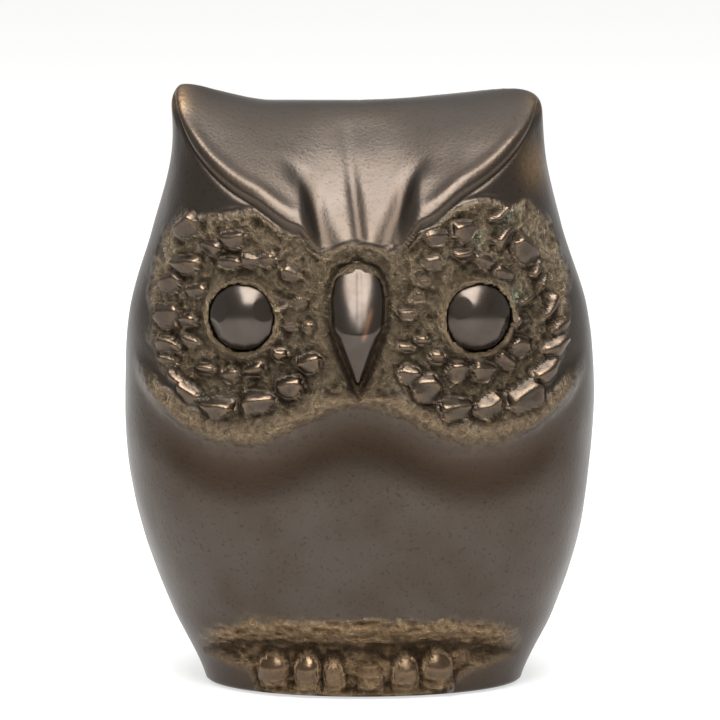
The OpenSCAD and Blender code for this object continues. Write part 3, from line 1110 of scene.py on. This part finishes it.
    # Relief too fine for the mesh: pits on the smooth faces, tooling on the ground.
    pits = add_node(
        tree, "Bump", {"Height": speckle, "Strength": 0.5, "Distance": 0.1 * MM}
    ).outputs["Normal"]
    tooling = add_node(
        tree, "Math", {0: crumbs, 1: masks["matted"]}, operation="MULTIPLY"
    ).outputs[0]
    normal = add_node(
        tree,
        "Bump",
        {"Height": tooling, "Strength": 1.0, "Distance": 1.5 * MM, "Normal": pits},
    ).outputs["Normal"]
    shader = add_node(
        tree,
        "BsdfPrincipled",
        {
            "Base Color": colour,
            "Metallic": 1.0,
            "Roughness": roughness,
            "Normal": normal,
            "Coat Weight": finish.wax,
            "Coat Roughness": 0.35,
            "Coat Normal": normal,
        },
    )
    add_node(tree, "OutputMaterial", {"Surface": shader.outputs["BSDF"]})
    return material


def burnished_bronze(finish):
    """Bronze turned or filed to shape, burnished, then patinated and waxed.

    It is smoother and darker than the casting, with faint clouding.
    """
    material, tree = new_material("burnished_bronze")
    place = add_node(tree, "TexCoord").outputs["Object"]
    clouds = add_node(
        tree, "TexNoise", {"Vector": place, "Scale": 1 / (5 * MM), "Detail": 4.0}
    ).outputs["Fac"]
    mix = add_node(
        tree, "MapRange", {"Value": clouds, "From Min": 0.35, "From Max": 0.7, "To Max": 0.6}
    ).outputs["Result"]
    colour = blend(tree, mix, list(finish.patina), list(finish.patina_deep))
    rubbed = add_node(tree, "Attribute", attribute_name="bared").outputs["Fac"]
    rubbed = add_node(tree, "Math", {0: rubbed, 1: clouds}, operation="MULTIPLY").outputs[0]
    colour = blend(tree, rubbed, colour, list(finish.copper))
    grit = add_node(
        tree, "TexNoise", {"Vector": place, "Scale": 1 / (0.6 * MM), "Detail": 2.0}
    ).outputs["Fac"]
    normal = add_node(
        tree, "Bump", {"Height": grit, "Strength": 0.15, "Distance": 0.05 * MM}
    ).outputs["Normal"]
    roughness = add_node(
        tree,
        "MapRange",
        {"Value": clouds, "From Min": 0.3, "From Max": 0.7, "To Min": 0.22, "To Max": 0.29},
    ).outputs["Result"]
    shader = add_node(
        tree,
        "BsdfPrincipled",
        {
            "Base Color": colour,
            "Metallic": 1.0,
            "Roughness": roughness,
            "Normal": normal,
            "Coat Weight": 2.5 * finish.wax,
            "Coat Roughness": 0.22,
        },
    )
    add_node(tree, "OutputMaterial", {"Surface": shader.outputs["BSDF"]})
    return material


def rolled_brass(name, colour_code, scratch_mm):
    """Rolled brass sheet or turned brass bar, dulled by age, with fine scratches."""
    material, tree = new_material(name)
    place = add_node(tree, "TexCoord").outputs["Object"]
    lie = add_node(tree, "Mapping", {"Vector": place, "Scale": (1.0, 12.0, 1.0)}).outputs["Vector"]
    scratches = add_node(
        tree, "TexNoise", {"Vector": lie, "Scale": 1 / (scratch_mm * MM), "Detail": 4.0}
    ).outputs["Fac"]
    base = linear(colour_code)
    dull = [c * 0.55 for c in base[:3]] + [1.0]
    colour = blend(tree, scratches, dull, base)
    normal = add_node(
        tree, "Bump", {"Height": scratches, "Strength": 0.2, "Distance": 0.03 * MM}
    ).outputs["Normal"]
    roughness = add_node(
        tree, "MapRange", {"Value": scratches, "To Min": 0.28, "To Max": 0.45}
    ).outputs["Result"]
    shader = add_node(
        tree,
        "BsdfPrincipled",
        {"Base Color": colour, "Metallic": 1.0, "Roughness": roughness, "Normal": normal},
    )
    add_node(tree, "OutputMaterial", {"Surface": shader.outputs["BSDF"]})
    return material


def wool_felt(finish):
    """Pressed wool felt: matted fibres about 0.2 mm across, soft and without gloss."""
    material, tree = new_material("wool_felt")
    place = add_node(tree, "TexCoord").outputs["Object"]
    # The fibres are drawn at 0.5 mm, coarser than real ones, so that they show.
    fibres = add_node(
        tree,
        "TexNoise",
        {"Vector": place, "Scale": 1 / (0.5 * MM), "Detail": 6.0, "Distortion": 1.5},
    ).outputs["Fac"]
    light = [min(1.0, c * 2.2) for c in list(finish.felt)[:3]] + [1.0]
    colour = blend(tree, fibres, list(finish.felt), light)
    normal = add_node(
        tree, "Bump", {"Height": fibres, "Strength": 0.9, "Distance": 0.25 * MM}
    ).outputs["Normal"]
    shader = add_node(
        tree,
        "BsdfPrincipled",
        {
            "Base Color": colour,
            "Roughness": 0.95,
            "Sheen Weight": 0.4,
            "Sheen Roughness": 0.5,
            "Normal": normal,
        },
    )
    add_node(tree, "OutputMaterial", {"Surface": shader.outputs["BSDF"]})
    return material


def finish_node(node, material):
    """Gives a carried-over CAD node its material."""
    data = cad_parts[node].data
    data.materials.clear()
    data.materials.append(material)


# ---------------------------------------------------------------------- operators


class OWL_OT_model_body(bpy.types.Operator):
    """Model the hollow casting with its face, brow, chest ridge and toes"""

    bl_idname = "owl.model_body"
    bl_label = "Body casting"

    def execute(self, context):
        form = context.scene.owl.form
        angles = column_angles()
        outside = outer_grid(form, angles)
        normals = grid_normals(outside)
        _gap, edge = body_gap(form, outside)
        depth, finish = sculpt(form, outside, normals, edge)
        outside = outside + normals * depth[..., None]
        grid = np.concatenate([outside, inner_grid(form, angles)])
        up = np.array([[[0.0, 0.0, 1.0]]])
        top = surface_points(form, np.array([[[0.0, 0.0, FAN_Z]]]), up)[0, 0]
        inner = surface_points(form, np.array([[[0.0, 0.0, FAN_Z - 6]]]), up, WALL)[0, 0]

        bm = bmesh.new()
        bmesh.ops.create_uvsphere(bm, u_segments=COLUMNS, v_segments=ALL_ROWS + 1, radius=1)
        piece = new_piece("body_casting_bronze", bm)
        mesh = piece.data
        unit = np.empty(len(mesh.vertices) * 3)
        mesh.vertices.foreach_get("co", unit)
        unit = unit.reshape(-1, 3)
        down = np.arccos(np.clip(unit[:, 2], -1, 1)) / math.pi
        around = np.arctan2(unit[:, 1], unit[:, 0]) / (2 * math.pi)
        row = np.rint(down * (ALL_ROWS + 1)).astype(int) - 1
        col = np.rint(around * COLUMNS).astype(int) % COLUMNS
        on_grid = (row >= 0) & (row < ALL_ROWS)
        if on_grid.sum() != ALL_ROWS * COLUMNS:
            raise RuntimeError("the body's grid doesn't match its sphere")
        place = np.where(unit[:, 2:] > 0, top, inner)
        place[on_grid] = grid[row[on_grid], col[on_grid]]
        mesh.vertices.foreach_set("co", (place * MM).ravel())
        outer = on_grid & (row < OUTER_ROWS)
        for name, values in finish.items():
            layer = mesh.attributes.new(name, "FLOAT", "POINT")
            spread = np.zeros(len(unit))
            spread[outer] = values[row[outer], col[outer]]
            layer.data.foreach_set("value", spread)
        mesh.update()

        self.add_lugs(piece)
        self.cut_seats(piece, form)
        piece.data.materials.append(waxed_bronze(context.scene.owl.finish))
        join_frame(piece, "patinated_bronze", "body_casting")
        return {"FINISHED"}

    def add_lugs(self, piece):
        """Lugs inside the casting that the base screws thread into."""
        lugs = []
        for side in (-1, 1):
            lugs.append(rod("lug", (side * SCREW_X, 0, PLATE_TOP - 0.02), (0, 0, 1), 4.6, 9))
        boolean(piece, lugs, "UNION")

    def cut_seats(self, piece, form):
        """Seats for the eyes and holes for the plugs and screws."""
        tools = []
        for side, (ex, ey, ez) in zip((-1, 1), EYES.values()):
            axis = eye_axis(side)
            start = Vector((ex, ey, ez)) - axis * SEAT_DEPTH
            tools.append(eye_shape("seat", form, side, (ex, ey, ez), 0.04))
            tools.append(rod("hole", start - axis * 12, axis, SPIGOT_R + 0.08, 13))
            tools.append(rod("thread", (side * SCREW_X, 0, PLATE_TOP - 1), (0, 0, 1), 2.0, 8.5))
        for start, direction in PLUGS.values():
            tools.append(rod("hole", start, direction, PLUG_R + 0.03, 60))
        tools.append(rod("hole", (BEAK_X, -12, 75), (0, -1, 0), SPIGOT_R + 0.08, 14))
        boolean(piece, tools, "DIFFERENCE")


class OWL_OT_model_eyes(bpy.types.Operator):
    """Model the two domed eyes, each filed to a few soft facets"""

    bl_idname = "owl.model_eyes"
    bl_label = "Eyes"

    def execute(self, context):
        form = context.scene.owl.form
        material = burnished_bronze(context.scene.owl.finish)
        for side, (name, place) in zip((-1, 1), EYES.items()):
            piece = eye_shape(name + "_bronze", form, side, place)
            piece.data.materials.append(material)
            join_frame(piece, "polished_bronze", name)
        return {"FINISHED"}


class OWL_OT_model_beak(bpy.types.Operator):
    """Model the long beak with its keel and hooked point"""

    bl_idname = "owl.model_beak"
    bl_label = "Beak"

    def execute(self, context):
        bm = bmesh.new()
        bmesh.ops.create_uvsphere(bm, u_segments=160, v_segments=88, radius=1)
        for v in bm.verts:
            t = math.acos(max(-1, min(1, v.co.z))) / math.pi
            t = (1 - math.cos(math.pi * t)) / 2
            angle = math.atan2(v.co.y, v.co.x)
            v.co = self.point(t, angle)
        bmesh.ops.recalc_face_normals(bm, faces=bm.faces)
        bmesh.ops.transform(bm, matrix=Matrix.Scale(MM, 4), verts=bm.verts)
        piece = new_piece("beak_bronze", bm)
        # A rubbed copper line down the beak's right side.
        place = np.empty(len(piece.data.vertices) * 3)
        piece.data.vertices.foreach_get("co", place)
        x, z = place[0::3] / MM, place[2::3] / MM
        line = BEAK_X + 1.05 + 0.29 * (z - 70.3)
        rubbed = bell((x - line) / 0.4) * smooth(69.5, 71, z) * smooth(76.5, 74.5, z)
        layer = piece.data.attributes.new("bared", "FLOAT", "POINT")
        layer.data.foreach_set("value", rubbed * (place[1::3] < BEAK_SEAT_Y * MM))
        spigot = rod("spigot", (BEAK_X, BEAK_SEAT_Y + 8, 75), (0, -1, 0), SPIGOT_R, 9)
        boolean(piece, [spigot], "UNION")
        piece.data.materials.append(burnished_bronze(context.scene.owl.finish))
        join_frame(piece, "polished_bronze", "beak")
        return {"FINISHED"}

    def point(self, t, angle):
        """A point a share t down the beak, and an angle round its section."""
        z = BEAK_TOP - (BEAK_TOP - BEAK_TIP) * t
        half = max(float(beak_half_width(np.array(z))), 0.0)
        up = t / BEAK_BEND
        if up < 1:
            rise = 0.06 + 0.4 * math.sin(math.pi / 2 * up) + 0.54 * up
        else:
            rise = 1 - 0.62 * ((t - BEAK_BEND) / (1 - BEAK_BEND)) ** 1.2
        crest = (BEAK_FRONT + BEAK_SEAT_Y) * rise * min(1, half / 1.2 + 0.35)
        c, s = math.cos(angle), -math.sin(angle)
        bulge = max(s, 0) ** (0.42 + 0.1 * float(smooth(0.5, 0.58, t))) * crest
        crease = 0.14 * math.exp(-(((c - 0.06) / 0.14) ** 2)) * float(smooth(0.56, 0.4, t))
        crease = crease * max(s, 0) * float(smooth(0.02, 0.12, t))
        behind = -0.3 * min(1, half) if s <= 0 else 0
        return Vector((BEAK_X + half * c, BEAK_SEAT_Y - bulge + crease - behind, z))


class OWL_OT_model_plugs(bpy.types.Operator):
    """Model the five core-pin plugs, filed flush with the casting"""

    bl_idname = "owl.model_plugs"
    bl_label = "Core plugs"

    def execute(self, context):
        form = context.scene.owl.form
        material = waxed_bronze(context.scene.owl.finish)
        for name, (start, direction) in PLUGS.items():
            piece = self.plug(name + "_bronze", form, Vector(start), Vector(direction))
            piece.data.materials.append(material)
            join_frame(piece, "patinated_bronze", name)
        return {"FINISHED"}

    def plug(self, name, form, start, direction):
        """A round plug whose outer end is filed to the casting's own surface."""
        bm = bmesh.new()
        bmesh.ops.create_cone(
            bm, cap_ends=True, segments=64, radius1=PLUG_R, radius2=PLUG_R, depth=PLUG_LENGTH
        )
        bm.normal_update()
        end = [f for f in bm.faces if f.normal.z > 0.9]
        for step in (0.1, 0.5, 0.6):
            bmesh.ops.inset_region(bm, faces=end, thickness=step)
        turn = Vector((0, 0, 1)).rotation_difference(direction).to_matrix().to_4x4()
        bmesh.ops.transform(bm, matrix=turn, verts=bm.verts)
        flat = [v.co - v.co.dot(direction) * direction for v in bm.verts]
        origins = np.array([[start + side for side in flat]])
        ends = surface_points(form, origins, np.broadcast_to(np.array(direction), origins.shape))[0]
        for v, side, surface in zip(bm.verts, flat, ends):
            outer = v.co.dot(direction) > 0
            edge = 0.08 * float(side.length > PLUG_R - 0.05)
            v.co = Vector(surface) - direction * (edge if outer else PLUG_LENGTH)
        bmesh.ops.transform(bm, matrix=Matrix.Scale(MM, 4), verts=bm.verts)
        return new_piece(name, bm)


class OWL_OT_finish_underside(bpy.types.Operator):
    """Finish the base plate and its screws, and lay the felt"""

    bl_idname = "owl.finish_underside"
    bl_label = "Underside"

    def execute(self, context):
        finish = context.scene.owl.finish
        finish_node("base_plate", rolled_brass("rolled_brass_sheet", "#A08A5C", 3.0))
        finish_node("base_screws", rolled_brass("turned_brass", "#B59A62", 1.2))
        low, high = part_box("felt_pad")
        bm = bmesh.new()
        bmesh.ops.create_circle(bm, cap_ends=True, segments=180, radius=1)
        thick = (high[2] - low[2]) / MM
        shell = bmesh.ops.extrude_face_region(bm, geom=bm.faces[:])
        top = [g for g in shell["geom"] if isinstance(g, bmesh.types.BMVert)]
        bmesh.ops.translate(bm, vec=(0, 0, thick), verts=top)
        for v in bm.verts:
            a = math.atan2(v.co.y, v.co.x)
            c, s = np.array(math.cos(a)), np.array(math.sin(a))
            r = float(plain_radius(c, s, np.array(RIM_Z))) - RIM_WALL - 0.3
            v.co.x, v.co.y = r * math.cos(a), r * math.sin(a)
        caps = [f for f in bm.faces if len(f.verts) > 4]
        rims = list({e for f in caps for e in f.edges})
        bmesh.ops.bevel(
            bm,
            geom=rims,
            offset=0.25,
            offset_type="OFFSET",
            segments=3,
            profile=0.5,
            affect="EDGES",
            material=-1,
        )
        bmesh.ops.recalc_face_normals(bm, faces=bm.faces)
        bmesh.ops.transform(bm, matrix=Matrix.Scale(MM, 4), verts=bm.verts)
        piece = new_piece("felt_pad_wool", bm)
        piece.data.materials.append(wool_felt(finish))
        join_frame(piece, "felt", "felt_pad")
        return {"FINISHED"}


class OWL_OT_set_stage(bpy.types.Operator):
    """Set the table, the lights and the camera"""

    bl_idname = "owl.set_stage"
    bl_label = "Stage"

    def execute(self, context):
        stage = context.scene.owl.stage
        self.table()
        self.sweep("back_sweep", 95, 71, 0, True)
        self.sweep("side_sweep", 275, 289, -0.6, False)
        self.lights(context, stage)
        self.camera(context, stage)
        context.scene.view_settings.view_transform = "Standard"
        return {"FINISHED"}

    def table(self):
        material, tree = new_material("white_table")
        diffuse = add_node(tree, "BsdfDiffuse", {"Color": (0.45, 0.45, 0.45, 1)})
        glow = add_node(tree, "Emission", {"Color": (1, 1, 1, 1), "Strength": 0.62})
        both = add_node(tree, "AddShader", {0: diffuse.outputs[0], 1: glow.outputs[0]})
        add_node(tree, "OutputMaterial", {"Surface": both.outputs[0]})
        bm = bmesh.new()
        bmesh.ops.create_grid(bm, x_segments=1, y_segments=1, size=1)
        bmesh.ops.scale(bm, vec=(*TABLE_HALF, 1), verts=bm.verts)
        floor = new_piece("table", bm)
        floor.data.materials.append(material)

    def sweep(self, name, middle, span, low, lights_owl):
        """A white wall round part of the table, seen by the camera and maybe by the owl."""
        material, tree = new_material(name)
        glow = add_node(tree, "Emission", {"Color": (1, 1, 1, 1), "Strength": 1.05})
        add_node(tree, "OutputMaterial", {"Surface": glow.outputs[0]})
        first = math.radians(middle - span / 2)
        bm = bmesh.new()
        foot = (WALL_RADIUS * math.cos(first), WALL_RADIUS * math.sin(first))
        start = [bm.verts.new((*foot, z)) for z in (low, WALL_TOP)]
        edge = bm.edges.new(start)
        bmesh.ops.spin(
            bm,
            geom=start + [edge],
            axis=(0, 0, 1),
            cent=(0, 0, 0),
            angle=math.radians(span),
            steps=32,
        )
        wall = new_piece(name, bm)
        wall.data.materials.append(material)
        wall.visible_glossy = lights_owl
        wall.visible_diffuse = lights_owl
        wall.visible_shadow = False

    def lights(self, context, stage):
        world = bpy.data.worlds.new("room")
        world.use_nodes = True
        background = world.node_tree.nodes["Background"]
        background.inputs["Color"].default_value = (1, 0.98, 0.95, 1)
        background.inputs["Strength"].default_value = stage.room
        context.scene.world = world
        self.softbox("softbox", (0, -0.48, 0.86), (0.6, 1.05), stage.softbox_power)
        self.softbox("ceiling", (0, 0.35, 1.25), (1.4, 1.5), stage.ceiling_power)

    def softbox(self, name, place, size, power):
        lamp = bpy.data.lights.new(name, "AREA")
        lamp.shape = "RECTANGLE"
        lamp.size, lamp.size_y = size
        lamp.energy = power
        light = bpy.data.objects.new(name, lamp)
        light.location = place
        bpy.context.scene.collection.objects.link(light)

    def camera(self, context, stage):
        lens = bpy.data.cameras.new("camera")
        lens.sensor_width = 36
        lens.lens = 36 * stage.distance / stage.view_width
        lens.clip_end = 20
        camera = bpy.data.objects.new("camera", lens)
        target = Vector((0, 0, stage.aim_height))
        back = Vector((0, -math.cos(stage.elevation), math.sin(stage.elevation)))
        camera.location = target + back * stage.distance
        camera.rotation_euler = (-back).to_track_quat("-Z", "Y").to_euler()
        context.scene.collection.objects.link(camera)
        context.scene.camera = camera


class OWL_PT_panel(bpy.types.Panel):
    """Lists the owl's steps and settings"""

    bl_label = "Bronze Owl"
    bl_idname = "OWL_PT_panel"
    bl_space_type = "VIEW_3D"
    bl_region_type = "UI"
    bl_category = "Owl"

    def draw(self, context):
        layout = self.layout
        owl = context.scene.owl
        for group in (owl.form, owl.finish, owl.stage):
            box = layout.box()
            for name in group.__annotations__:
                box.prop(group, name)
        for step in STEPS:
            layout.operator(step.bl_idname)


STEPS = (
    OWL_OT_set_stage,
    OWL_OT_model_body,
    OWL_OT_model_eyes,
    OWL_OT_model_beak,
    OWL_OT_model_plugs,
    OWL_OT_finish_underside,
)
CLASSES = (OwlForm, OwlFinish, OwlStage, OwlSettings, *STEPS, OWL_PT_panel)


def register():
    for item in CLASSES:
        bpy.utils.register_class(item)
    bpy.types.Scene.owl = PointerProperty(type=OwlSettings)


def unregister():
    del bpy.types.Scene.owl
    for item in reversed(CLASSES):
        bpy.utils.unregister_class(item)


def main():
    register()
    bpy.ops.owl.set_stage()
    bpy.ops.owl.model_body()
    bpy.ops.owl.model_eyes()
    bpy.ops.owl.model_beak()
    bpy.ops.owl.model_plugs()
    bpy.ops.owl.finish_underside()


if __name__ == "__main__":
    main()
